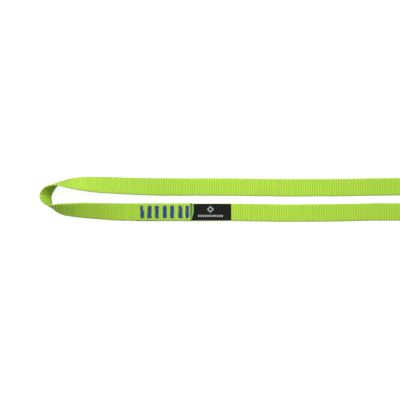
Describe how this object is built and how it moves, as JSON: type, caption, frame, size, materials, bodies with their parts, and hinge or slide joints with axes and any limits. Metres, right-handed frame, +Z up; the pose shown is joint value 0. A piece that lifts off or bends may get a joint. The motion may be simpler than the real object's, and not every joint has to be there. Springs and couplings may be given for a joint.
{
  "type": "sewn webbing sling",
  "caption": "Closed loop of flat woven webbing, sewn with a row of bar tacks at a lap joint, laid out as two side-by-side strands with a bight at each end and a small folded label.",
  "frame": {"origin": "centre of the laid-out loop, on the surface that it lies on", "axes": "+X along the loop, away from the sewn half; +Y across the two strands, from the sewn strand to the plain one; +Z up"},
  "size_m": [0.6, 0.0518, 0.0201],
  "materials": {
    "webbing": "ribbed woven polyamide tape, soft sheen",
    "sealed_end": "heat-melted webbing, slightly glossy",
    "thread": "bonded polyester thread, soft sheen",
    "label": "satin-woven label",
    "label_mark": "woven motif, matt"
  },
  "bodies": {
    "sewn_half": {"webbing_lap_run": "webbing", "webbing_left_run": "webbing", "inner_sealed_end": "sealed_end", "outer_sealed_end": "sealed_end", "bar_tack_1_needle_thread": "thread", "bar_tack_2_needle_thread": "thread", "bar_tack_3_needle_thread": "thread", "bar_tack_4_needle_thread": "thread", "bar_tack_5_needle_thread": "thread", "bar_tack_6_needle_thread": "thread", "bar_tack_7_needle_thread": "thread", "bar_tack_1_bobbin_thread": "thread", "bar_tack_2_bobbin_thread": "thread", "bar_tack_3_bobbin_thread": "thread", "bar_tack_4_bobbin_thread": "thread", "bar_tack_5_bobbin_thread": "thread", "bar_tack_6_bobbin_thread": "thread", "bar_tack_7_bobbin_thread": "thread", "label_root": "label"},
    "plain_half": {"webbing_right_run": "webbing"},
    "label": {"label_flap": "label", "label_mark": "label_mark"}
  },
  "joints": [
    {"name": "fold_in_half", "type": "hinge", "parent": "sewn_half", "child": "plain_half", "pos_m": [0, 0, 0.004], "axis": [0, -1, 0], "range_deg": [0, 160]},
    {"name": "label_lift", "type": "hinge", "parent": "sewn_half", "child": "label", "pos_m": [-0.1282, -0.014, 0.0032], "axis": [0, -1, 0], "range_deg": [0, 105]}
  ]
}
